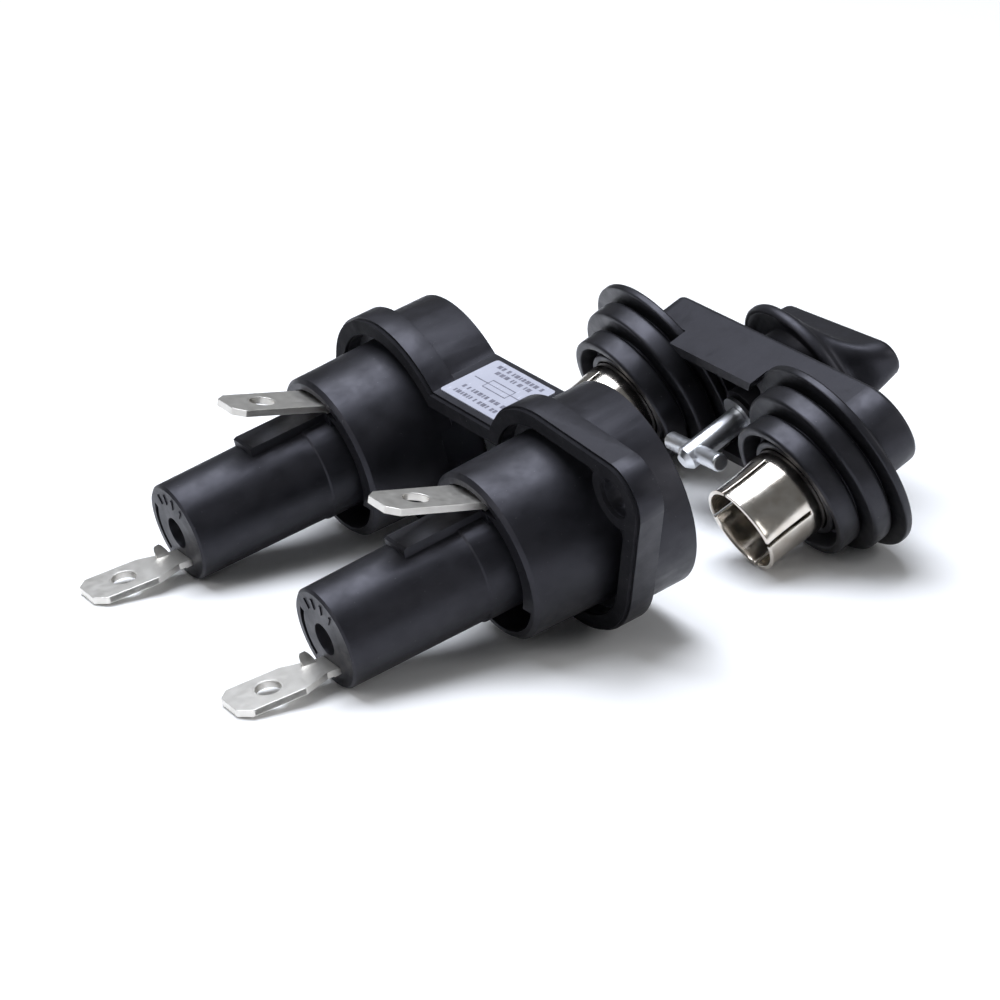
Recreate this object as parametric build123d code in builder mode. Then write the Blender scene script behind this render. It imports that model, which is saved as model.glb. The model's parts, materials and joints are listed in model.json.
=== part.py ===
"""Two-pole cartridge fuse holder for a panel, with its fuse carrier lying in front of it.

Every piece is made in one of two tilted frames. HOLDER has its origin between the two poles on the
panel face, and CARRIER has its origin between the two boots, level with their first lip. In both, the
distance along the pole axis towards the knob is called the station, +Y runs to the far pole, and the
height is measured square to both.
"""
from build123d import *
import os
from math import asin, atan2, cos, hypot, radians, sin

os.makedirs("parts", exist_ok=True)

# ---- driving dimensions, millimetres -------------------------------------------------------------
pole_spacing = 36.5
holder_pitch = 14.2                 # the holder leans back on its skirt and its tube ends
carrier_pitch = 26.1                # the carrier leans forward on its clips and its boots
carrier_origin_x = 36.0
carrier_origin_y = 2.7

tube_end_station = -31.4
tube_end_radius = 6.2
tube_root_radius = 6.6
key_height = 7.1
key_half_width = 2.2
fuse_bore_radius = 5.4              # takes a 10.3 x 38.1 mm cartridge fuse
fuse_bore_station = -27.0
fuse_bore_length = 16.5
fuse_relief_radius = 5.8
end_wall = 1.6
end_slot_radius = 4.7
end_slot_width = 0.8
end_tick_height = 0.15
tube_front_station = -2.4
tube_flange_radius = 7.15
tube_gap = 0.03                     # between a tube and its hole in the housing
sleeve_station = -10.0
sleeve_radius = 10.5
sleeve_gap_radius = 7.9
sleeve_web_height = -4.2
barrel_front_station = 10.6
barrel_radius = 12.8

gasket_thickness = 0.5
gasket_inset = 0.3
skirt_front_station = 3.7
skirt_radius = 14.2
skirt_wall = 2.1
flange_plate = 1.4
bridge_half_height = 8.3
screw_offset_y = 15.0               # screw hole from its pole, outwards
screw_offset_z = 8.44
screw_hole_radius = 2.45
lobe_radius = 4.5

clip_chamber_radius = 7.2
clip_chamber_station = -3.2
seal_bore_radius = 9.9
seal_bore_station = 5.9
mouth_bore_radius = 12.0
mouth_bore_station = 8.8
latch_plate_station = 5.8
latch_plate_thickness = 0.8

blade_width = 6.3                   # 6.3 mm quick-connect blades
blade_thickness = 0.8
blade_hole_radius = 1.55
blade_hole_from_tip = 5.0
end_blade_shoulder = 3.3             # from the root to where the blade reaches its full width

boot_lips = ((-1.2, 2.0, 9.4), (2.4, 5.3, 11.4), (5.8, 6.9, 13.1))    # rear, front, radius
boot_neck_radius = 8.4
clip_radius = 5.8
clip_thickness = 0.5
clip_mouth_station = -9.0
clip_floor_station = 3.6
clip_slits = 4
clip_slit_root = -2.2
clip_flare = 0.15

carrier_half_height = 9.4           # bar that carries both boots
carrier_lobe = (23.7, 3.8, 5.6)     # full corner: distance out, height and radius, near end up
carrier_corner = (14.6, 6.4, 3.0)   # cut corner: the same, near end down
bridge_front_station = 11.8
bridge_rear_station = 4.2
block_half_width = 11.1
carrier_wall = 1.7
hollow_front_station = 8.2
hollow_front_half_width = 4.5
shaft_boss_radius = 3.4
ring_pocket = 1.6
seal_station = 8.6
seal_radius = 2.65
seal_width = 1.4
boot_clearance = 0.25
spigot_radius = 5.0
rivet_head_radius = 2.4
rivet_radius = 1.2
rivet_head_height = 0.7

washer_radius = 4.2
washer_thickness = 0.6
ring_radius = 2.9
ring_thickness = 0.5
ring_station = 4.85
ring_groove_depth = 0.35

shaft_radius = 1.6
shaft_tip_station = -4.6
pin_radius = 1.15
pin_station = -2.4
pin_length = 11.4
knob_rest_turn = 4.0                # the carrier lies with its knob turned this far
knob_disc_station = 14.4
knob_disc_radius = 9.9
knob_foot_radius = 6.2
knob_front_station = 22.8
wing_half_length = 11.8
plinth_length = 17.0
plinth_width = 13.0
plinth_flare = 3.0                  # drawn in this much on its way up, and as high
wing_half_thickness = 2.3

poles = {"near": -pole_spacing / 2, "far": pole_spacing / 2}

# ---- frames --------------------------------------------------------------------------------------
floor_height = gasket_thickness * sin(radians(holder_pitch)) - skirt_radius * cos(radians(holder_pitch))
clip_tip_drop = (clip_mouth_station * sin(radians(carrier_pitch))
                 - (clip_radius + clip_flare) * cos(radians(carrier_pitch)))
carrier_origin_z = floor_height - clip_tip_drop + 0.02


def tilted(pitch, origin):
    """Plane square to the pole axis: sketch x is the row's Y and sketch y is the height."""
    return Plane(origin=origin, x_dir=(0, 1, 0), z_dir=(cos(radians(pitch)), 0, sin(radians(pitch))))


def sideways(plane, y):
    """Plane through the pole axis at y: sketch x is the station and sketch y is the height."""
    origin = plane.origin + Vector(0, y, 0)
    return Plane(origin=origin, x_dir=plane.z_dir, z_dir=(0, -1, 0))


HOLDER = tilted(holder_pitch, (0, 0, 0))
CARRIER = tilted(carrier_pitch, (carrier_origin_x, carrier_origin_y, carrier_origin_z))


def pole_axis(plane, y):
    """The axis of one pole in the given frame."""
    return Axis(plane.origin + Vector(0, y, 0), plane.z_dir)


def turned(frame, y, outline, mode=Mode.ADD):
    """Turn a closed (station, radius) outline about a pole."""
    with BuildSketch(sideways(frame, y)) as profile:
        Polygon(*outline, align=None)
    revolve(profile.sketch, axis=pole_axis(frame, y), mode=mode)


def disc(frame, station, y, radius, length, mode=Mode.ADD, height=0.0):
    """A round boss or hole parallel to the poles, starting at a station."""
    with BuildSketch(frame.offset(station)) as section:
        with Locations((y, height)):
            Circle(radius)
    extrude(section.sketch, amount=length, mode=mode)


def save(builder, name):
    """Label a finished piece and write it."""
    builder.part.label = name
    export_step(builder.part, f"parts/{name}.step")


# ---- housing -------------------------------------------------------------------------------------
def lobe_hull(pole, grow=0.0):
    """Skirt round one pole drawn out to its screw lobe, which sits diagonally outside the pole."""
    outward = 1 if pole > 0 else -1
    big = skirt_radius + grow
    small = lobe_radius + grow
    dy = outward * screw_offset_y
    dz = -outward * screw_offset_z
    span = hypot(dy, dz)
    heading = atan2(dz, dy)
    spread = asin((big - small) / span)
    points = []
    for turn in (1, -1):
        normal = heading + turn * (radians(90) - spread)
        points.append((pole + big * cos(normal), big * sin(normal)))
        points.append((pole + dy + small * cos(normal), dz + small * sin(normal)))
    with Locations((pole, 0)):
        Circle(big)
    with Locations((pole + dy, dz)):
        Circle(small)
    Polygon(points[0], points[1], points[3], points[2], align=None)


def flange_outline(grow=0.0):
    """Outline of the whole flange: both lobed skirts and the flat bridge between them."""
    for pole in poles.values():
        lobe_hull(pole, grow)
    Rectangle(pole_spacing, 2 * (bridge_half_height + grow))


with BuildPart() as housing:
    # solid skirt and front barrels
    with BuildSketch(HOLDER.offset(gasket_thickness)):
        flange_outline()
    extrude(amount=skirt_front_station - gasket_thickness)
    with BuildSketch(HOLDER.offset(skirt_front_station)):
        with Locations(*[(pole, 0) for pole in poles.values()]):
            Circle(barrel_radius)
        Rectangle(pole_spacing, 2 * bridge_half_height)
    extrude(amount=barrel_front_station - skirt_front_station)
    # hollow of the skirt, open to the rear
    with BuildSketch(HOLDER.offset(gasket_thickness)):
        flange_outline(-skirt_wall)
    extrude(amount=skirt_front_station - flange_plate - gasket_thickness, mode=Mode.SUBTRACT)
    # sleeves and screw bosses
    for pole in poles.values():
        turned(HOLDER, pole, ((sleeve_station, 0), (sleeve_station, sleeve_radius - 0.5),
                              (sleeve_station + 0.5, sleeve_radius), (3.0, sleeve_radius + 0.3), (3.0, 0)))
        outward = 1 if pole > 0 else -1
        screw_y = pole + outward * screw_offset_y
        screw_z = -outward * screw_offset_z
        boss_length = skirt_front_station - gasket_thickness
        disc(HOLDER, gasket_thickness, screw_y, screw_hole_radius + 1.5, boss_length, height=screw_z)
        disc(HOLDER, 0, screw_y, screw_hole_radius, skirt_front_station, Mode.SUBTRACT, screw_z)
    for pole in poles.values():
        # gap round the tube inside the sleeve's mouth, which leaves the keyway's two cheeks
        with BuildSketch(HOLDER.offset(sleeve_station)):
            with Locations((pole, 0)):
                Circle(sleeve_gap_radius)
                with Locations((0, 5)):
                    Rectangle(2 * (key_half_width + 1.2), 10, mode=Mode.SUBTRACT)
        extrude(amount=3.2, mode=Mode.SUBTRACT)
        # deep pocket below the tube and shallow one above the side terminal
        with BuildSketch(HOLDER.offset(sleeve_station)):
            with Locations((pole, 0)):
                Circle(9.4)
                with Locations((0, 15 + sleeve_web_height)):
                    Rectangle(30, 30, mode=Mode.SUBTRACT)
        extrude(amount=5.5, mode=Mode.SUBTRACT)
        with BuildSketch(HOLDER.offset(sleeve_station)):
            with Locations((pole, 0)):
                Circle(9.2)
                with Locations((0, tube_flange_radius - 15)):
                    Rectangle(30, 30, mode=Mode.SUBTRACT)
        extrude(amount=1.4, mode=Mode.SUBTRACT)
        # stepped bore: mouth, seal bore, clip chamber, and the tube's hole with its keyway
        mouth_depth = barrel_front_station - mouth_bore_station
        hole_depth = clip_chamber_station - sleeve_station
        disc(HOLDER, mouth_bore_station, pole, mouth_bore_radius, mouth_depth, Mode.SUBTRACT)
        disc(HOLDER, seal_bore_station, pole, seal_bore_radius, 6, Mode.SUBTRACT)
        disc(HOLDER, clip_chamber_station, pole, clip_chamber_radius, 12, Mode.SUBTRACT)
        disc(HOLDER, sleeve_station, pole, tube_root_radius + tube_gap, hole_depth, Mode.SUBTRACT)
        with BuildSketch(sideways(HOLDER, pole)):
            Polygon((sleeve_station, 0), (clip_chamber_station, 0), (clip_chamber_station, key_height + tube_gap),
                    (sleeve_station, key_height + tube_gap), align=None)
        extrude(amount=key_half_width + tube_gap, both=True, mode=Mode.SUBTRACT)
        # channel over the chamber for the side terminal, and its slot out to the sleeve's rear face
        with BuildSketch(sideways(HOLDER, pole)):
            Polygon((sleeve_station, 7.2), (clip_chamber_station, 7.2), (clip_chamber_station, 5.6),
                    (4.2, 5.6), (4.2, 8.55), (sleeve_station, 8.55), align=None)
        extrude(amount=blade_width / 2 + 0.1, both=True, mode=Mode.SUBTRACT)
    # latch keyhole through the bridge, with the turning space of the cross pin behind it
    with BuildSketch(HOLDER.offset(latch_plate_station)):
        Circle(2.3)
        Rectangle(2 * pin_radius + 0.7, pin_length + 0.8)
    extrude(amount=10, mode=Mode.SUBTRACT)
    with BuildSketch(HOLDER.offset(gasket_thickness)):
        Rectangle(15.4, 15.4)
    extrude(amount=latch_plate_station + latch_plate_thickness - gasket_thickness, mode=Mode.SUBTRACT)
save(housing, "holder_housing")

for side, pole in poles.items():
    with BuildPart() as tube:
        # tapered tube with a collar at its root and a flange that stops it in the clip chamber
        turned(HOLDER, pole, ((tube_end_station, 0), (tube_end_station, tube_end_radius - 0.3),
                              (tube_end_station + 0.3, tube_end_radius), (-13.4, tube_root_radius - 0.2),
                              (-13.2, tube_root_radius), (clip_chamber_station, tube_root_radius),
                              (clip_chamber_station, tube_flange_radius), (tube_front_station, tube_flange_radius),
                              (tube_front_station, 0)))
        # key that keeps the tube from turning, seen outside the sleeve under the side terminal
        with BuildSketch(sideways(HOLDER, pole)):
            Polygon((-20.3, 5.5), (-20.3, key_height - 0.2), (-19.9, key_height), (clip_chamber_station, key_height),
                    (clip_chamber_station, 5.5), align=None)
        extrude(amount=key_half_width, both=True)
        relief_station = fuse_bore_station + fuse_bore_length
        disc(HOLDER, relief_station, pole, fuse_relief_radius, tube_front_station - relief_station, Mode.SUBTRACT)
        disc(HOLDER, fuse_bore_station, pole, fuse_bore_radius, fuse_bore_length, Mode.SUBTRACT)
        disc(HOLDER, tube_end_station + end_wall, pole, fuse_bore_radius - 0.2, 5, Mode.SUBTRACT)
        # end wall: sight hole, curved slot and the slot for the end terminal
        disc(HOLDER, tube_end_station, pole, 2.0, end_wall, Mode.SUBTRACT)
        with BuildSketch(HOLDER.offset(tube_end_station)):
            with Locations((pole, 0)):
                Circle(end_slot_radius + end_slot_width / 2)
                Circle(end_slot_radius - end_slot_width / 2, mode=Mode.SUBTRACT)
                Polygon((0, 0), (8, 5), (8, -8), align=None, mode=Mode.INTERSECT)
        extrude(amount=end_wall, mode=Mode.SUBTRACT)
        with BuildSketch(HOLDER.offset(tube_end_station)):
            with Locations((pole, -3.45)):
                Rectangle(4.3, 0.9)
        extrude(amount=end_wall, mode=Mode.SUBTRACT)
        # moulded ticks above the sight hole
        with BuildSketch(HOLDER.offset(tube_end_station)):
            with Locations((pole, 0)):
                with PolarLocations(end_slot_radius - 0.2, 4, start_angle=60, angular_range=90):
                    Rectangle(1.3, 0.35)
        extrude(amount=-end_tick_height)
    save(tube, f"fuse_tube_{side}")

# ---- gasket and label ----------------------------------------------------------------------------
with BuildPart() as gasket:
    with BuildSketch(HOLDER):
        flange_outline(-gasket_inset)
    extrude(amount=gasket_thickness)
    with BuildSketch(HOLDER):
        flange_outline(-skirt_wall)
    extrude(amount=gasket_thickness, mode=Mode.SUBTRACT)
    for pole in poles.values():
        outward = 1 if pole > 0 else -1
        screw_y = pole + outward * screw_offset_y
        screw_z = -outward * screw_offset_z
        disc(HOLDER, 0, screw_y, screw_hole_radius + 1.5, gasket_thickness, height=screw_z)
        disc(HOLDER, 0, screw_y, screw_hole_radius, gasket_thickness, Mode.SUBTRACT, screw_z)
save(gasket, "panel_gasket")

with BuildPart() as label:
    with BuildSketch(Plane(origin=HOLDER.origin + HOLDER.y_dir * bridge_half_height,
                           x_dir=HOLDER.z_dir, z_dir=HOLDER.y_dir)):
        with Locations((5.6, 0)):
            RectangleRounded(8.4, 13.2, 0.5)
    extrude(amount=0.15)
save(label, "rating_label")

# ---- latch plate and the terminals of each pole --------------------------------------------------
with BuildPart() as latch_plate:
    with BuildSketch(HOLDER.offset(latch_plate_station)):
        Rectangle(14.6, 15.2)
        Circle(2.1, mode=Mode.SUBTRACT)
        Rectangle(2 * pin_radius + 0.6, pin_length + 0.4, mode=Mode.SUBTRACT)
    extrude(amount=latch_plate_thickness)
save(latch_plate, "latch_plate")


def strip(frame, y, width, *outline):
    """A strip of sheet: its (station, height) outline, as wide as given, centred on y."""
    with BuildSketch(sideways(frame, y)) as section:
        Polygon(*outline, align=None)
    extrude(section.sketch, amount=width / 2, both=True)


def blade_plane(tip, root, y):
    """Plane on a blade's middle line, with its x from the root to the tip and its z square to the blade."""
    start = HOLDER.origin + HOLDER.z_dir * root[0] + HOLDER.y_dir * root[1] + Vector(0, y, 0)
    end = HOLDER.origin + HOLDER.z_dir * tip[0] + HOLDER.y_dir * tip[1] + Vector(0, y, 0)
    along = (end - start).normalized()
    return Plane(origin=start, x_dir=along, z_dir=along.cross(Vector(0, 1, 0)))


def blade(plane, length, neck_width, shoulder, neck_length):
    """Quick-connect blade with a chamfered tip, a hole and a neck that runs back past the root."""
    half = blade_width / 2
    with BuildSketch(plane.offset(-blade_thickness / 2)) as outline:
        Polygon((length, half - 1.3), (length - 1.3, half), (shoulder, half), (0, neck_width / 2),
                (-neck_length, neck_width / 2), (-neck_length, -neck_width / 2), (0, -neck_width / 2),
                (shoulder, -half), (length - 1.3, -half), (length, 1.3 - half), align=None)
        with Locations((length - blade_hole_from_tip, 0)):
            Circle(blade_hole_radius, mode=Mode.SUBTRACT)
    extrude(outline.sketch, amount=blade_thickness)


for side, pole in poles.items():
    # side terminal: blade that leans back out of the sleeve, then a strip along the clip chamber
    with BuildPart() as side_terminal:
        blade(blade_plane((-21.1, 12.57), (-9.4, 7.85), pole), 12.6, blade_width, 0.0, 0.5)
        strip(HOLDER, pole, blade_width, (-9.9, 7.35), (3.6, 7.35), (3.6, 8.15), (-9.3, 8.15), (-9.9, 8.4))
    save(side_terminal, f"side_terminal_{side}")

    # sprung finger on the strip, which presses on the outside of the carrier's clip
    with BuildPart() as side_contact:
        strip(HOLDER, pole, 4.6, (3.4, 7.35), (3.4, 6.9), (0.9, 6.9), (-1.4, 6.2), (-2.1, 6.4),
              (-2.2, 6.1), (-1.4, 5.9), (1.2, 6.5), (3.6, 6.5), (3.6, 7.35))
    save(side_contact, f"side_contact_{side}")

    # end terminal: blade under the tube's axis, neck through the end wall and a foot inside it
    with BuildPart() as end_terminal:
        blade(blade_plane((-44.5, -2.23), (-33.0, -3.25), pole), 11.5, 3.8, end_blade_shoulder, 1.3)
        strip(HOLDER, pole, 3.8, (-32.2, -3.85), (-29.3, -3.85), (-29.3, -3.05), (-32.2, -3.05))
        strip(HOLDER, pole, 3.8, (-29.8, -3.85), (-29.8, 3.4), (-29.3, 3.4), (-29.3, -3.85))
    save(end_terminal, f"end_terminal_{side}")

    # bowed leaf across the tube's end wall, which the fuse's rear cap presses on
    with BuildPart() as rear_contact:
        strip(HOLDER, pole, 4.6, (-29.3, -3.0), (-28.9, -3.0), (-27.6, -1.2), (-27.2, 0), (-27.6, 1.2),
              (-28.9, 3.0), (-29.3, 3.0), (-29.3, 2.6), (-28.0, 1.0), (-27.65, 0), (-28.0, -1.0), (-29.3, -2.6))
    save(rear_contact, f"rear_contact_{side}")

# ---- carrier: bridge, boots and clips -------------------------------------------------------------
def bar_outline():
    """Outline of the bar, the same when turned half round: a full lobe and a cut corner at each end."""
    for turn in (1, -1):
        for out, height, radius in (carrier_lobe, (carrier_corner[0], -carrier_corner[1], carrier_corner[2])):
            with Locations((-turn * out, turn * height)):
                Circle(radius)
    make_hull()


with BuildPart() as carrier_bridge:
    bar_back = boot_lips[2][1]
    with BuildSketch(CARRIER.offset(bar_back)):
        bar_outline()
    extrude(amount=bridge_front_station - bar_back)
    fillet(carrier_bridge.edges().group_by(Axis(CARRIER.origin, CARRIER.z_dir))[-1], 0.7)
    # middle of the bar, drawn back between the boots and cut round their largest lips
    with BuildSketch(CARRIER.offset(bridge_rear_station)):
        bar_outline()
        Rectangle(2 * block_half_width, 4 * carrier_half_height, mode=Mode.INTERSECT)
        with Locations(*[(pole, 0) for pole in poles.values()]):
            Circle(boot_lips[2][2] + boot_clearance, mode=Mode.SUBTRACT)
    extrude(amount=bar_back - bridge_rear_station)
    # hollow between its top and bottom walls, round the boss of the shaft
    inside = carrier_half_height - carrier_wall
    for half_width, start, end in ((block_half_width, bridge_rear_station, bar_back),
                                   (hollow_front_half_width, bar_back, hollow_front_station)):
        with BuildSketch(CARRIER.offset(start)):
            Rectangle(2 * half_width, 2 * inside)
            Circle(shaft_boss_radius, mode=Mode.SUBTRACT)
        extrude(amount=end - start, mode=Mode.SUBTRACT)
    disc(CARRIER, bridge_rear_station, 0, shaft_boss_radius + 0.1, ring_pocket, Mode.SUBTRACT)
    # spigots that the boots fit on, with a blind hole for each clip's rivet
    for pole in poles.values():
        disc(CARRIER, clip_floor_station, pole, spigot_radius, bar_back - clip_floor_station + 0.5)
        disc(CARRIER, clip_floor_station, pole, rivet_radius + 0.4, 5.0, Mode.SUBTRACT)
    # bore of the shaft and its seal groove
    disc(CARRIER, 0, 0, shaft_radius + 0.05, 20, Mode.SUBTRACT)
    disc(CARRIER, seal_station - 0.05, 0, seal_radius + 0.05, seal_width + 0.1, Mode.SUBTRACT)
save(carrier_bridge, "carrier_bridge")


def boot_outline():
    """Half section of a boot: three round-edged lips on a neck, and a stepped hole for the clip."""
    inner = spigot_radius + 0.05
    (rear1, front1, radius1), (rear2, front2, radius2), (rear3, front3, radius3) = boot_lips
    return [(rear1, 8.3), (rear1, radius1 - 0.4), (rear1 + 0.3, radius1), (front1 - 0.7, radius1),
            (front1, radius1 - 0.7), (front1, boot_neck_radius), (rear2, boot_neck_radius), (rear2, radius2 - 0.4),
            (rear2 + 0.4, radius2), (front2 - 0.7, radius2), (front2, radius2 - 0.7), (front2, boot_neck_radius + 1.6),
            (rear3, boot_neck_radius + 1.6), (rear3, radius3 - 0.3), (rear3 + 0.3, radius3), (front3 - 0.3, radius3),
            (front3, radius3 - 0.3), (front3, inner), (clip_floor_station, inner), (clip_floor_station, 5.9),
            (-0.5, 5.9), (-0.5, 6.7), (1.2, 6.9), (1.2, 7.7)]


def ring_of_slits(station, y, length, count, width, first):
    """Cut evenly spaced slits into the free end of a clip."""
    with BuildSketch(CARRIER.offset(station)) as cuts:
        with Locations((y, 0)):
            with PolarLocations(clip_radius, count, start_angle=first):
                Rectangle(4, width)
    extrude(cuts.sketch, amount=length, mode=Mode.SUBTRACT)


for side, pole in poles.items():
    with BuildPart() as boot:
        turned(CARRIER, pole, boot_outline())
    save(boot, f"boot_{side}")

    # sprung cup that grips the fuse's front cap
    with BuildPart() as clip:
        inner = clip_radius - clip_thickness
        turned(CARRIER, pole, ((clip_floor_station, 0), (clip_floor_station - clip_thickness, 0),
                               (clip_floor_station - clip_thickness, inner), (-6.6, inner),
                               (clip_mouth_station, inner + clip_flare), (clip_mouth_station, clip_radius + clip_flare),
                               (-6.6, clip_radius), (clip_floor_station, clip_radius)))
        disc(CARRIER, 0, pole, rivet_radius + 0.05, 6, Mode.SUBTRACT)
        ring_of_slits(clip_mouth_station, pole, clip_slit_root - clip_mouth_station, clip_slits, 0.5, 0)
    save(clip, f"fuse_clip_{side}")

    with BuildPart() as rivet:
        clip_floor_inside = clip_floor_station - clip_thickness
        disc(CARRIER, clip_floor_inside - rivet_head_height, pole, rivet_head_radius, rivet_head_height)
        disc(CARRIER, clip_floor_inside, pole, rivet_radius, 5.2)
    save(rivet, f"clip_rivet_{side}")

with BuildPart() as shaft_seal:
    disc(CARRIER, seal_station, 0, seal_radius, seal_width)
    disc(CARRIER, seal_station, 0, shaft_radius + 0.06, seal_width, Mode.SUBTRACT)
save(shaft_seal, "shaft_seal")

with BuildPart() as spring_washer:
    disc(CARRIER, bridge_front_station, 0, washer_radius, washer_thickness)
    disc(CARRIER, bridge_front_station, 0, shaft_radius + 0.3, washer_thickness, Mode.SUBTRACT)
save(spring_washer, "spring_washer")

# ---- knob, shaft and cross pin --------------------------------------------------------------------
KNOB = Plane(origin=CARRIER.origin, z_dir=CARRIER.z_dir,
             x_dir=CARRIER.x_dir * cos(radians(knob_rest_turn)) - CARRIER.y_dir * sin(radians(knob_rest_turn)))
PIN = Plane(origin=KNOB.origin + KNOB.z_dir * pin_station - KNOB.x_dir * pin_length / 2,
            x_dir=KNOB.y_dir, z_dir=KNOB.x_dir)

with BuildPart() as knob:
    # round foot and grip disc
    neck_start = bridge_front_station + washer_thickness + 0.3
    turned(CARRIER, 0, ((neck_start, 0), (neck_start, knob_foot_radius), (knob_disc_station + 1.0, knob_foot_radius),
                        (knob_disc_station + 1.0, knob_disc_radius - 0.9), (knob_disc_station, knob_disc_radius - 0.7),
                        (knob_disc_station, knob_disc_radius - 0.3), (knob_disc_station + 0.4, knob_disc_radius),
                        (knob_disc_station + 1.0, knob_disc_radius), (knob_disc_station + 1.9, knob_disc_radius - 1.3),
                        (knob_disc_station + 1.9, 0)))
    # plinth that flares from the disc into the wing, then the wing
    with BuildSketch(KNOB.offset(knob_disc_station + 1.8)):
        RectangleRounded(plinth_length, plinth_width, plinth_width / 2 - 1)
    with BuildSketch(KNOB.offset(knob_disc_station + 1.8 + plinth_flare)):
        RectangleRounded(plinth_length - 2 * plinth_flare, plinth_width - 2 * plinth_flare,
                         plinth_width / 2 - 1 - plinth_flare)
    loft()
    with BuildSketch(KNOB.offset(knob_disc_station + 2.6)):
        RectangleRounded(2 * wing_half_length, 2 * wing_half_thickness, wing_half_thickness - 0.2)
    extrude(amount=knob_front_station - knob_disc_station - 2.6)
    fillet(knob.edges().group_by(Axis(CARRIER.origin, CARRIER.z_dir))[-1], 0.8)
    disc(CARRIER, 0, 0, shaft_radius, 19, Mode.SUBTRACT)
save(knob, "knob")

with BuildPart() as latch_shaft:
    tip = shaft_tip_station
    groove_rear = ring_station - 0.05
    groove_front = ring_station + ring_thickness + 0.05
    groove_radius = shaft_radius - ring_groove_depth
    turned(CARRIER, 0, ((tip, 0), (tip, shaft_radius - 0.7), (tip + 0.7, shaft_radius), (groove_rear, shaft_radius),
                        (groove_rear, groove_radius), (groove_front, groove_radius), (groove_front, shaft_radius),
                        (19, shaft_radius), (19, 0)))
    with BuildSketch(PIN):
        Circle(pin_radius)
    extrude(amount=pin_length, mode=Mode.SUBTRACT)
save(latch_shaft, "latch_shaft")

with BuildPart() as cross_pin:
    with BuildSketch(PIN):
        Circle(pin_radius)
    extrude(amount=pin_length)
    fillet(cross_pin.edges().filter_by(GeomType.CIRCLE), 0.3)
save(cross_pin, "cross_pin")

with BuildPart() as retaining_ring:
    disc(CARRIER, ring_station, 0, ring_radius, ring_thickness)
    disc(CARRIER, ring_station, 0, shaft_radius - ring_groove_depth, ring_thickness, Mode.SUBTRACT)
    with BuildSketch(KNOB.offset(ring_station)):
        Rectangle(2 * shaft_radius - 0.9, 4, align=(Align.CENTER, Align.MAX))
    extrude(amount=ring_thickness, mode=Mode.SUBTRACT)
save(retaining_ring, "retaining_ring")
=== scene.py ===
"""Looks for the two-pole cartridge fuse holder and the fuse carrier that lies in front of it."""
import json
import math
import random

import bmesh
import bpy
from mathutils import Matrix, Vector


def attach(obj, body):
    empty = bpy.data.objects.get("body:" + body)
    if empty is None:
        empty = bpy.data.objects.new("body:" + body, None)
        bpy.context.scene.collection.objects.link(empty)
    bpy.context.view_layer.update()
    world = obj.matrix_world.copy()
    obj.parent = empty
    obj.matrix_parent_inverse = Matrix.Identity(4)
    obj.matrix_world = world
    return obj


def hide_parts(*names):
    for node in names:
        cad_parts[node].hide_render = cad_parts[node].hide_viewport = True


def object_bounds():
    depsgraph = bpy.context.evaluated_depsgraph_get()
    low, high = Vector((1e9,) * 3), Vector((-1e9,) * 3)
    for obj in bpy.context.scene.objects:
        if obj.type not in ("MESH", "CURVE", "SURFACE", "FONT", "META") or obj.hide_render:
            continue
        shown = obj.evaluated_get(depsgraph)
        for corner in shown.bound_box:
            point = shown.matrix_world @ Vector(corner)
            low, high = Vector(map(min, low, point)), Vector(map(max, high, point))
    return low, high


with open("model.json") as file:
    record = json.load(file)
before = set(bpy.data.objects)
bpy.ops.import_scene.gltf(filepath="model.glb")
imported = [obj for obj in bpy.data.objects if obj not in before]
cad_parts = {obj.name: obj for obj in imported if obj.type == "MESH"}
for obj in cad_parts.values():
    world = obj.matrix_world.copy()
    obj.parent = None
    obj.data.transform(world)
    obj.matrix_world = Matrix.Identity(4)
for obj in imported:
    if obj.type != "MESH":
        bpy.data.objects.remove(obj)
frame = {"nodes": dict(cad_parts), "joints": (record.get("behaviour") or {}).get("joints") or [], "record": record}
cad_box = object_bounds()
record = frame["record"]
MM = 0.001


# ---- frames: x is the row's Y, y is the height square to the poles, z is the station ------------------
def pole_frame(origin, axis):
    """Matrix from a tilted frame's (y, height, station) in metres to the row frame."""
    z = Vector(axis).normalized()
    x = Vector((0, 1, 0))
    y = z.cross(x)
    matrix = Matrix((x, y, z)).transposed().to_4x4()
    matrix.translation = Vector(origin)
    return matrix


mounts = {m["name"]: m for m in record["mounts"]}
joints = {j["name"]: j for j in frame["joints"]}
POLES = {side: mounts[f"fuse_bore_{side}"]["pos_m"][1] for side in ("near", "far")}
HOLDER = pole_frame((0, 0, 0), mounts["fuse_bore_near"]["axis"])
CARRIER = pole_frame(joints["knob_turn"]["pos_m"], joints["knob_turn"]["axis"])
KNOB = CARRIER @ Matrix.Rotation(math.radians(-joints["knob_turn"]["range_deg"][1]), 4, "Z")
floor_z = cad_box[0].z


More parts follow.
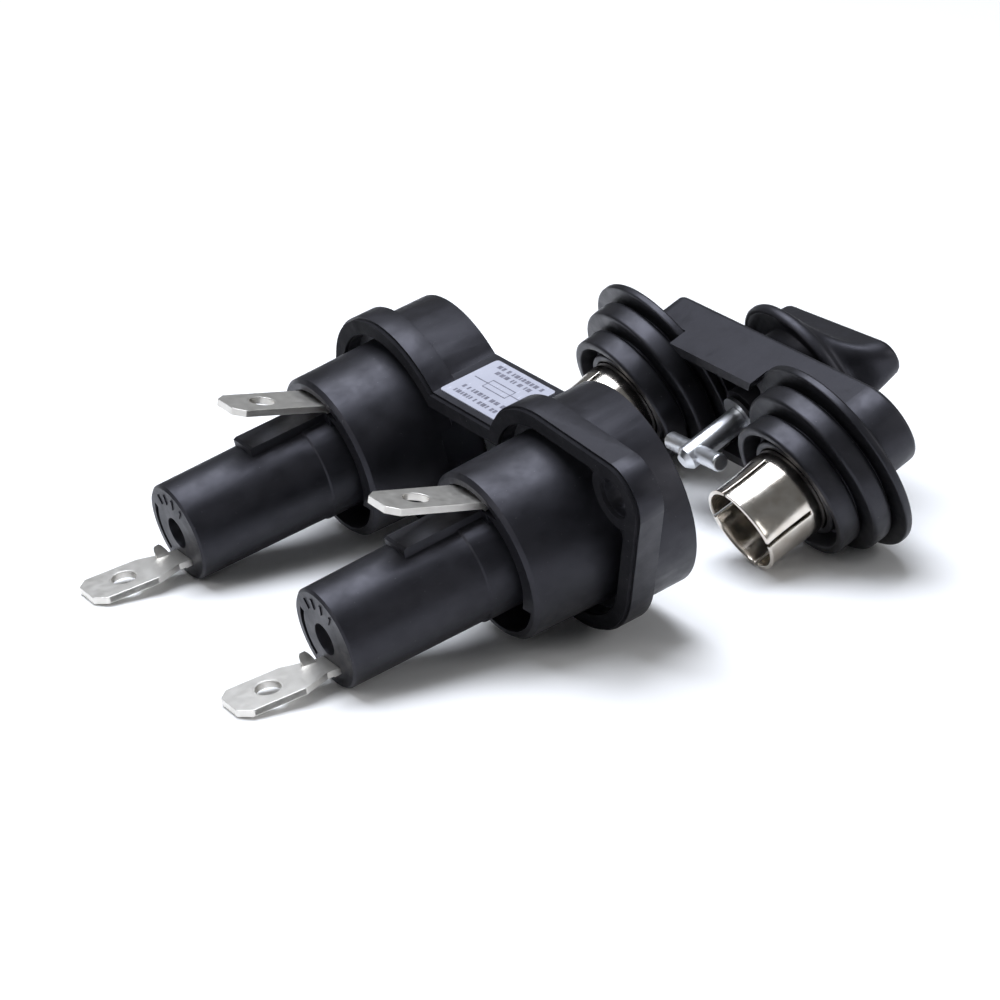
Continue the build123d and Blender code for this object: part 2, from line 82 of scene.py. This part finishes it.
# ---- materials ----------------------------------------------------------------------------------------
class Finish:
    """A procedural material: a Principled shader with noise for its colour, roughness and relief."""

    def __init__(self, name, **fixed):
        self.material = bpy.data.materials.new(name)
        self.material.use_nodes = True
        self.nodes = self.material.node_tree.nodes
        self.links = self.material.node_tree.links
        self.shader = self.nodes["Principled BSDF"]
        self.place = self.add("ShaderNodeTexCoord").outputs["Object"]
        self.relief = None
        for socket, value in fixed.items():
            self.shader.inputs[socket.replace("_", " ")].default_value = value

    def add(self, kind, **settings):
        node = self.nodes.new(kind)
        for key, value in settings.items():
            setattr(node, key, value)
        return node

    def feed(self, node, **values):
        """Set or link a node's inputs by name."""
        for key, value in values.items():
            socket = node.inputs[key.replace("_", " ")]
            if isinstance(value, bpy.types.NodeSocket):
                self.links.new(value, socket)
            else:
                socket.default_value = value
        return node

    def noise(self, size, detail=3.0, roughness=0.55, stretch=None):
        """Noise whose lumps are about size metres across."""
        place = self.place
        if stretch:
            mapping = self.feed(self.add("ShaderNodeMapping"), Vector=place, Scale=stretch)
            place = mapping.outputs["Vector"]
        node = self.add("ShaderNodeTexNoise")
        self.feed(node, Vector=place, Scale=1.0 / size, Detail=detail, Roughness=roughness)
        return node.outputs["Fac"]

    def spread(self, value, low, high, bottom=0.0, top=1.0):
        """Map value from low..high to bottom..top, clamped."""
        node = self.add("ShaderNodeMapRange", clamp=True)
        self.feed(node, Value=value, From_Min=low, From_Max=high, To_Min=bottom, To_Max=top)
        return node.outputs["Result"]

    def times(self, a, b):
        node = self.add("ShaderNodeMath", operation="MULTIPLY")
        for slot, value in enumerate((a, b)):
            if isinstance(value, bpy.types.NodeSocket):
                self.links.new(value, node.inputs[slot])
            else:
                node.inputs[slot].default_value = value
        return node.outputs["Value"]

    def mix(self, share, first, second):
        node = self.add("ShaderNodeMix", data_type="RGBA")
        for index, value in ((0, share), (6, first), (7, second)):
            if isinstance(value, bpy.types.NodeSocket):
                self.links.new(value, node.inputs[index])
            else:
                node.inputs[index].default_value = value if index == 0 else (*value, 1.0)
        return node.outputs[2]

    def bump(self, height, depth, strength=1.0):
        """Lay relief of the given depth in metres on what is there already."""
        node = self.add("ShaderNodeBump")
        self.feed(node, Height=height, Distance=depth, Strength=strength)
        if self.relief is not None:
            self.links.new(self.relief, node.inputs["Normal"])
        self.relief = node.outputs["Normal"]

    def done(self, colour=None, roughness=None):
        if colour is not None:
            self.links.new(colour, self.shader.inputs["Base Color"])
        if roughness is not None:
            self.links.new(roughness, self.shader.inputs["Roughness"])
        if self.relief is not None:
            self.links.new(self.relief, self.shader.inputs["Normal"])
        return self.material


def moulded(name, dark, light, gloss, grain, speck=0.0, shine=0.3):
    """Black moulded plastic or rubber: mottled colour, fine grain, faint scuffs and specks of dust."""
    f = Finish(name, Specular_IOR_Level=shine, Specular_Tint=(0.87, 0.86, 1.0, 1.0))
    mottle = f.spread(f.noise(6 * MM, 4), 0.3, 0.7)
    colour = f.mix(mottle, dark, light)
    scuffs = f.spread(f.noise(1.6 * MM, 6, 0.7, (1.0, 5.0, 3.0)), 0.60, 0.72)
    colour = f.mix(f.times(scuffs, 0.25), colour, tuple(3 * c for c in light))
    if speck:
        dust = f.spread(f.noise(0.40 * MM, 1, 0.4), 0.76, 0.80, 0.0, speck)
        colour = f.mix(dust, colour, (0.22, 0.22, 0.22))
    rough = f.spread(f.noise(2.5 * MM, 5, 0.6), 0.3, 0.7, gloss - 0.08, gloss + 0.11)
    f.bump(f.noise(0.16 * MM, 3, 0.6), grain)
    f.bump(f.noise(2.2 * MM, 2), 2.5 * grain)
    return f.done(colour, rough)


def plated(name, dark, light, gloss, ripple, streaks=(1.0, 1.0, 1.0)):
    """Plated metal: slight tarnish, fine brushing or ripple, and uneven gloss."""
    f = Finish(name, Metallic=1.0)
    tarnish = f.spread(f.noise(2.4 * MM, 3, 0.5), 0.3, 0.75)
    colour = f.mix(tarnish, light, dark)
    rough = f.spread(f.noise(0.9 * MM, 4, 0.6, streaks), 0.3, 0.7, gloss - 0.03, gloss + 0.05)
    f.bump(f.noise(0.12 * MM, 3, 0.5, streaks), ripple)
    f.bump(f.noise(1.8 * MM, 2), 1.5 * ripple)
    return f.done(colour, rough)


finishes = {
    "housing_plastic": moulded("housing_black", (0.0035, 0.0035, 0.0045), (0.008, 0.008, 0.010),
                               0.43, 0.004 * MM, 0.10, 0.42),
    "carrier_plastic": moulded("carrier_black", (0.005, 0.005, 0.006), (0.010, 0.010, 0.012),
                               0.46, 0.005 * MM, 0.08, 0.5),
    "boot_rubber": moulded("boot_rubber", (0.003, 0.003, 0.0035), (0.007, 0.007, 0.008),
                           0.40, 0.004 * MM, 0.15, 0.45),
    "gasket_rubber": moulded("gasket_sponge", (0.004, 0.004, 0.005), (0.010, 0.010, 0.011),
                             0.8, 0.02 * MM, 0.3, 0.2),
    "tinned_brass": plated("tin_plate", (0.66, 0.64, 0.60), (0.76, 0.74, 0.70), 0.40, 0.0010 * MM),
    "spring_bronze": plated("tinned_bronze", (0.46, 0.40, 0.30), (0.62, 0.57, 0.48), 0.34, 0.002 * MM),
    "nickel_clip": plated("nickel_plate", (0.60, 0.54, 0.47), (0.82, 0.78, 0.72), 0.17, 0.0012 * MM),
    "zinc_steel": plated("zinc_plate", (0.66, 0.67, 0.69), (0.78, 0.80, 0.84), 0.32, 0.0005 * MM),
    "label_film": moulded("label_film", (0.40, 0.41, 0.48), (0.44, 0.45, 0.52),
                          0.42, 0.0006 * MM, 0.0, 0.3),
}

slots = {s["node"]: s["material_slot"] for s in record["subparts"]}


def soften(piece, width, segments=3, angle=32):
    """Round a piece's sharp edges."""
    weld = piece.modifiers.new("weld", "WELD")
    weld.merge_threshold = 0.001 * MM
    bevel = piece.modifiers.new("round", "BEVEL")
    bevel.width = width
    bevel.segments = segments
    bevel.limit_method = "ANGLE"
    bevel.angle_limit = math.radians(angle)
    bevel.harden_normals = True
    bevel.use_clamp_overlap = True


SOFTENED = {"holder_housing": 0.35, "fuse_tube_near": 0.15, "fuse_tube_far": 0.15, "carrier_bridge": 0.3}
for node, piece in frame["nodes"].items():
    piece.data.materials.clear()
    piece.data.materials.append(finishes[slots[node]])
    if node in SOFTENED:
        soften(piece, SOFTENED[node] * MM)


# ---- mesh helpers -------------------------------------------------------------------------------------
def piece_from(name, verts, faces, body, slot, replaced=(), smooth=True):
    """A mesh piece in the row frame that rides on a body and may stand for CAD nodes."""
    mesh = bpy.data.meshes.new(name)
    mesh.from_pydata([tuple(v) for v in verts], [], faces)
    shape = bmesh.new()
    shape.from_mesh(mesh)
    bmesh.ops.remove_doubles(shape, verts=shape.verts, dist=1e-7)
    bmesh.ops.recalc_face_normals(shape, faces=shape.faces)
    for face in shape.faces:
        face.smooth = smooth
    shape.to_mesh(mesh)
    shape.free()
    mesh.materials.append(finishes[slot])
    piece = bpy.data.objects.new(name, mesh)
    bpy.context.scene.collection.objects.link(piece)
    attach(piece, body)
    if replaced:
        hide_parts(*replaced)
    return piece


def rounded(corners, rounds, steps=5):
    """A closed outline with each corner rounded; rounds gives one radius for each corner."""
    points = []
    count = len(corners)
    for i, corner in enumerate(corners):
        here, radius = Vector(corner), rounds[i % len(rounds)]
        before = (Vector(corners[i - 1]) - here)
        after = (Vector(corners[(i + 1) % count]) - here)
        if radius <= 0:
            points.append(tuple(here))
            continue
        half = before.angle(after) / 2
        reach = min(radius / math.tan(half), 0.49 * before.length, 0.49 * after.length)
        start, end = here + before.normalized() * reach, here + after.normalized() * reach
        for k in range(steps + 1):
            t = k / steps
            points.append(tuple(start * (1 - t) ** 2 + here * 2 * t * (1 - t) + end * t * t))
    return points


def lathe(outline, place, y, turns=96):
    """Vertices and faces of a closed (station, radius) outline in millimetres, turned about a pole."""
    verts, faces = [], []
    count = len(outline)
    for k in range(turns):
        angle = 2 * math.pi * k / turns
        for station, radius in outline:
            spot = (y + radius * math.cos(angle) * MM, radius * math.sin(angle) * MM, station * MM)
            verts.append(place @ Vector(spot))
    for k in range(turns):
        one, two = k * count, (k + 1) % turns * count
        for i in range(count):
            j = (i + 1) % count
            faces.append((one + i, one + j, two + j, two + i))
    return verts, faces


def skin(rings, close_ends=True):
    """Faces that join rings of equal count, given as lists of points."""
    verts = [p for ring in rings for p in ring]
    count = len(rings[0])
    faces = []
    for r in range(len(rings) - 1):
        for i in range(count):
            j = (i + 1) % count
            faces.append((r * count + i, r * count + j, (r + 1) * count + j, (r + 1) * count + i))
    if close_ends:
        faces.append(tuple(range(count - 1, -1, -1)))
        faces.append(tuple((len(rings) - 1) * count + i for i in range(count)))
    return verts, faces


def plate(name, loops, thickness, place, body, slot, replaced=(), edge=0.08, steps=3):
    """A flat plate with rounded edges: loops are outlines in mm, the first outside and the rest holes."""
    curve = bpy.data.curves.new(name, "CURVE")
    curve.dimensions = "2D"
    curve.fill_mode = "BOTH"
    curve.extrude = (thickness / 2 - edge) * MM
    curve.bevel_depth = edge * MM
    curve.offset = -edge * MM
    curve.bevel_resolution = steps
    for loop in loops:
        spline = curve.splines.new("POLY")
        spline.points.add(len(loop) - 1)
        for point, (x, y) in zip(spline.points, loop):
            point.co = (x * MM, y * MM, 0, 1)
        spline.use_cyclic_u = True
    shown = bpy.data.objects.new(name + "_curve", curve)
    bpy.context.scene.collection.objects.link(shown)
    bpy.context.view_layer.update()
    flat = bpy.data.meshes.new_from_object(shown.evaluated_get(bpy.context.evaluated_depsgraph_get()))
    verts = [place @ v.co for v in flat.vertices]
    faces = [tuple(p.vertices) for p in flat.polygons]
    bpy.data.objects.remove(shown)
    return piece_from(name, verts, faces, body, slot, replaced, smooth=False)


def round_hole(x, y, radius, count=48):
    return [(x + radius * math.cos(2 * math.pi * k / count), y + radius * math.sin(2 * math.pi * k / count))
            for k in range(count)]


def holder_point(station, height, y):
    return HOLDER @ Vector((y, height * MM, station * MM))


def blade_place(root, tip, y):
    """Matrix for a blade's plate: x from root to tip, y across it, z up out of it."""
    start, end = holder_point(*root, y), holder_point(*tip, y)
    along = (end - start).normalized()
    across = Vector((0, 1, 0))
    out = along.cross(across)
    matrix = Matrix((along, across, out)).transposed().to_4x4()
    matrix.translation = start
    return matrix


# ---- boots: three round-edged lips on a neck -----------------------------------------------------------
BOOT = (((6.9, 5.05), 0), ((3.6, 5.05), 0), ((3.6, 5.95), 0), ((-0.5, 5.95), 0.15), ((-0.5, 6.75), 0.35),
        ((1.3, 6.95), 0.2), ((1.3, 7.75), 0.2), ((-1.2, 8.35), 0.25), ((-1.2, 9.4), 0.45), ((1.95, 9.35), 0.5),
        ((2.0, 8.4), 0.1), ((2.4, 8.4), 0.1), ((2.4, 11.35), 0.5), ((5.3, 11.4), 0.75), ((5.35, 10.0), 0.1),
        ((5.8, 10.0), 0.1), ((5.8, 13.1), 0.3), ((6.9, 13.1), 0.35))
boot_outline = rounded([corner for corner, _ in BOOT], [radius for _, radius in BOOT])
for side, y in POLES.items():
    verts, faces = lathe(boot_outline, CARRIER, y)
    piece_from(f"boot_{side}_moulded", verts, faces, "carrier", "boot_rubber", [f"boot_{side}"])

# ---- clips: a cup with four petals ---------------------------------------------------------------------
CLIP = ((-9.0, 5.93), (-8.7, 5.86), (-8.2, 5.8), (-6.5, 5.74), (-4.5, 5.76), (-2.9, 5.8), (-2.2, 5.84),
        (-1.7, 5.86), (-1.2, 5.82), (0.0, 5.8), (3.1, 5.8), (3.42, 5.7), (3.6, 5.4), (3.6, 1.3))
SLIT_ROOT, SLIT_HALF, PETALS, PETAL_STEPS = -2.2, 0.25, 4, 20


def clip_shell(place, y):
    """The cup's outer surface, with a slit between the petals."""
    half = SLIT_HALF / CLIP[0][1]
    quarter = 2 * math.pi / PETALS
    angles = []
    for petal in range(PETALS):
        for k in range(PETAL_STEPS + 1):
            angles.append(petal * quarter + half + (quarter - 2 * half) * k / PETAL_STEPS)
    verts, faces = [], []
    for angle in angles:
        from_middle = (angle % quarter) / quarter - 0.5
        for station, radius in CLIP:
            free = min(1.0, max(0.0, (SLIT_ROOT - station) / 4))
            r = radius - 0.08 * free * (1 + math.cos(2 * math.pi * from_middle))
            verts.append(place @ Vector((y + r * math.cos(angle) * MM, r * math.sin(angle) * MM, station * MM)))
    rows = len(CLIP)
    for a in range(len(angles)):
        b = (a + 1) % len(angles)
        across_slit = a % (PETAL_STEPS + 1) == PETAL_STEPS
        for r in range(rows - 1):
            if across_slit and CLIP[r + 1][0] <= SLIT_ROOT:
                continue
            faces.append((a * rows + r, b * rows + r, b * rows + r + 1, a * rows + r + 1))
    return verts, faces


for side, y in POLES.items():
    verts, faces = clip_shell(CARRIER, y)
    clip = piece_from(f"fuse_clip_{side}_pressed", verts, faces, "carrier", "nickel_clip",
                      [f"fuse_clip_{side}"])
    wall = clip.modifiers.new("wall", "SOLIDIFY")
    wall.thickness, wall.offset = 0.5 * MM, -1
    wall.use_even_offset = True
    edge = clip.modifiers.new("edge", "BEVEL")
    edge.width, edge.segments, edge.limit_method, edge.angle_limit = 0.09 * MM, 3, "ANGLE", math.radians(50)

# ---- knob: disc, flared plinth and wing ----------------------------------------------------------------
# station, half length, half thickness and corner radius of each ring
KNOB_RINGS = ((12.7, 6.2, 6.2, 6.2), (15.2, 6.2, 6.2, 6.2), (15.38, 6.5, 6.5, 6.5), (15.4, 9.0, 9.0, 9.0),
              (14.5, 9.15, 9.15, 9.15), (14.4, 9.35, 9.35, 9.35), (14.48, 9.7, 9.7, 9.7), (14.8, 9.9, 9.9, 9.9),
              (15.4, 9.9, 9.9, 9.9), (15.8, 9.75, 9.7, 9.7), (16.1, 9.45, 9.2, 9.2), (16.45, 9.2, 8.3, 8.0),
              (17.0, 9.2, 7.0, 6.2), (17.5, 9.5, 6.05, 4.9), (18.0, 9.9, 5.2, 4.0), (18.6, 10.4, 4.45, 3.3),
              (19.2, 10.9, 3.9, 2.9), (20.0, 11.35, 3.35, 2.6), (21.0, 11.65, 2.9, 2.4), (22.0, 11.78, 2.55, 2.2),
              (22.4, 11.7, 2.3, 2.1), (22.65, 11.45, 1.9, 1.75), (22.8, 11.1, 1.45, 1.3))
ARC_STEPS = 18


def knob_ring(station, length, thickness, corner):
    """A rounded rectangle square to the knob's axis."""
    points = []
    for quadrant, (sx, sy) in enumerate(((1, 1), (-1, 1), (-1, -1), (1, -1))):
        for k in range(ARC_STEPS + 1):
            angle = math.pi / 2 * (quadrant + k / ARC_STEPS)
            x = sx * (length - corner) + corner * math.cos(angle)
            y = sy * (thickness - corner) + corner * math.sin(angle)
            points.append(KNOB @ Vector((x * MM, y * MM, station * MM)))
    return points


verts, faces = skin([knob_ring(*ring) for ring in KNOB_RINGS])
piece_from("knob_moulded", verts, faces, "knob", "carrier_plastic", ["knob"])

# ---- blades ---------------------------------------------------------------------------------------------
HALF, CHAMFER, THICK = 3.15, 1.3, 0.84
HOLE_RADIUS, HOLE_FROM_TIP = 1.71, 5.0
SIDE_TIP, END_TIP, SHOULDER = 12.58, 11.46, 3.3
# distance across the terminal, height, station and half width of each step of the ear
EAR = ((0.9, -3.3, -33.3, 0.75), (1.4, -2.9, -33.4, 0.8), (1.75, -2.4, -33.5, 0.75), (1.95, -1.95, -33.6, 0.6),
       (2.05, -1.6, -33.65, 0.35))
EAR_HALF_THICK = 0.26


def blade_end(tip):
    """The chamfered end of a blade, from its near edge round to its far edge."""
    return [(tip - CHAMFER, -HALF), (tip, CHAMFER - HALF), (tip, HALF - CHAMFER), (tip - CHAMFER, HALF)]


for side, y in POLES.items():
    place = blade_place((-9.4, 7.85), (-21.1, 12.57), y)
    outline = rounded([(-0.5, -HALF), *blade_end(SIDE_TIP), (-0.5, HALF)], [0, 0.4, 0.5, 0.5, 0.4, 0])
    plate(f"side_blade_{side}", [outline, round_hole(SIDE_TIP - HOLE_FROM_TIP, 0, HOLE_RADIUS)], THICK, place,
          "holder", "tinned_brass")
    place = blade_place((-33.0, -3.25), (-44.5, -2.23), y)
    outline = rounded([(-1.6, -1.6), (0.4, -1.5), (SHOULDER, -HALF), *blade_end(END_TIP),
                       (SHOULDER, HALF), (0.4, 1.5), (-1.6, 1.6)],
                      [0, 0.9, 0.4, 0.6, 0.6, 0.6, 0.6, 0.4, 0.9, 0])
    plate(f"end_blade_{side}", [outline, round_hole(END_TIP - HOLE_FROM_TIP, 0, HOLE_RADIUS)], THICK, place,
          "holder", "tinned_brass")
    # ear of the neck, bent up and outwards against the tube's end
    rings = []
    for across, height, station, half_width in EAR:
        rings.append([holder_point(station + ds * half_width, height + dh * EAR_HALF_THICK, y + across * MM)
                      for ds, dh in ((-1, -1), (1, -1), (1, 1), (-1, 1))])
    verts, faces = skin(rings)
    ear = piece_from(f"end_ear_{side}_left", verts, faces, "holder", "tinned_brass")
    crease = ear.modifiers.new("crease", "BEVEL")
    crease.width, crease.segments = 0.08 * MM, 3

# ---- print on the label: a fuse symbol between rows of plain dashes -----------------------------------
ink = Finish("grey_ink", Specular_IOR_Level=0.3, Roughness=0.5)
ink_patch = ink.spread(ink.noise(0.25 * MM, 3), 0.35, 0.6)
ink_look = ink.done(ink.mix(ink_patch, (0.10, 0.10, 0.13), (0.20, 0.20, 0.25)))
BRIDGE_HEIGHT, LABEL_THICK, INK_PROUD = 8.3, 0.15, 0.01
INK_HEIGHT = BRIDGE_HEIGHT + LABEL_THICK + INK_PROUD
verts, faces = [], []


def inked(station, y, long, wide):
    """One printed stroke, long across the poles and wide along them, in millimetres."""
    first = len(verts)
    for ds, dy in ((-1, -1), (1, -1), (1, 1), (-1, 1)):
        verts.append(holder_point(station + ds * wide / 2, INK_HEIGHT, (y + dy * long / 2) * MM))
    faces.append((first, first + 1, first + 2, first + 3))


random.seed(7)
for station, reach in ((2.5, 4.6), (3.7, 5.2), (7.9, 3.8), (8.9, 5.0)):
    y = -reach
    while y < reach:
        dash = random.choice((0.35, 0.55, 0.8))
        inked(station, y + dash / 2, dash, 0.62)
        y += dash + random.choice((0.22, 0.22, 0.6))
for y in (-4.0, 4.0):
    inked(5.8, y, 3.0, 0.16)
inked(5.8, 0, 5.0, 0.12)
for station in (5.0, 6.6):
    inked(station, 0, 5.0, 0.16)
for y in (-2.5, 2.5):
    inked(5.8, y, 0.16, 1.76)
ink_piece = piece_from("label_print", verts, faces, "holder", "label_film", smooth=False)
ink_piece.data.materials.clear()
ink_piece.data.materials.append(ink_look)

# ---- floor, light and camera --------------------------------------------------------------------------
floor_finish = Finish("floor", Specular_IOR_Level=0.1)
floor_tone = floor_finish.spread(floor_finish.noise(0.05, 3), 0.3, 0.7)
bpy.ops.mesh.primitive_plane_add(size=6, location=(0, 0, floor_z - 0.02 * MM))
floor = bpy.context.object
floor.name = "floor"
floor_colour = floor_finish.mix(floor_tone, (0.94, 0.94, 0.945), (0.96, 0.96, 0.96))
floor.data.materials.append(floor_finish.done(floor_colour))
floor_finish.shader.inputs["Roughness"].default_value = 0.8

world = bpy.data.worlds.new("studio")
world.use_nodes = True
world.node_tree.nodes["Background"].inputs["Color"].default_value = (0.96, 0.98, 1.0, 1.0)
world.node_tree.nodes["Background"].inputs["Strength"].default_value = 0.15
bpy.context.scene.world = world


def softbox(name, place, aim, width, height, power, colour=(1, 1, 1)):
    """Area light that faces a point."""
    lamp = bpy.data.lights.new(name, "AREA")
    lamp.shape = "RECTANGLE"
    lamp.size, lamp.size_y = width, height
    lamp.energy = power
    lamp.color = colour
    holder = bpy.data.objects.new(name, lamp)
    bpy.context.scene.collection.objects.link(holder)
    holder.location = place
    holder.rotation_mode = "QUATERNION"
    holder.rotation_quaternion = (Vector(aim) - Vector(place)).to_track_quat("-Z", "Y")
    return holder


softbox("top_box", (-0.05, 0.12, 0.55), (0, 0, 0), 0.45, 0.45, 4.8, (0.88, 0.92, 1.0))
softbox("left_box", (-0.60, 0.00, 0.35), (0, 0, 0), 0.4, 0.4, 1.2)
softbox("right_box", (0.45, -0.45, 0.30), (0, 0, 0), 0.4, 0.4, 1.1)

camera = bpy.data.cameras.new("camera")
camera.lens = 127.2
camera.sensor_width = 36.0
camera.clip_start, camera.clip_end = 0.01, 20.0
shooter = bpy.data.objects.new("camera", camera)
bpy.context.scene.collection.objects.link(shooter)
look = Vector((0.4829, 0.7920, -0.3740)).normalized()
right = Vector((0.8530, -0.5220, -0.0040)).normalized()
up = right.cross(look).normalized()
right = look.cross(up)
turn = Matrix((right, up, -look)).transposed()
shooter.matrix_world = Matrix.Translation((-0.2005, -0.3348, 0.1536)) @ turn.to_4x4()
bpy.context.scene.camera = shooter
bpy.context.scene.view_settings.view_transform = "Standard"
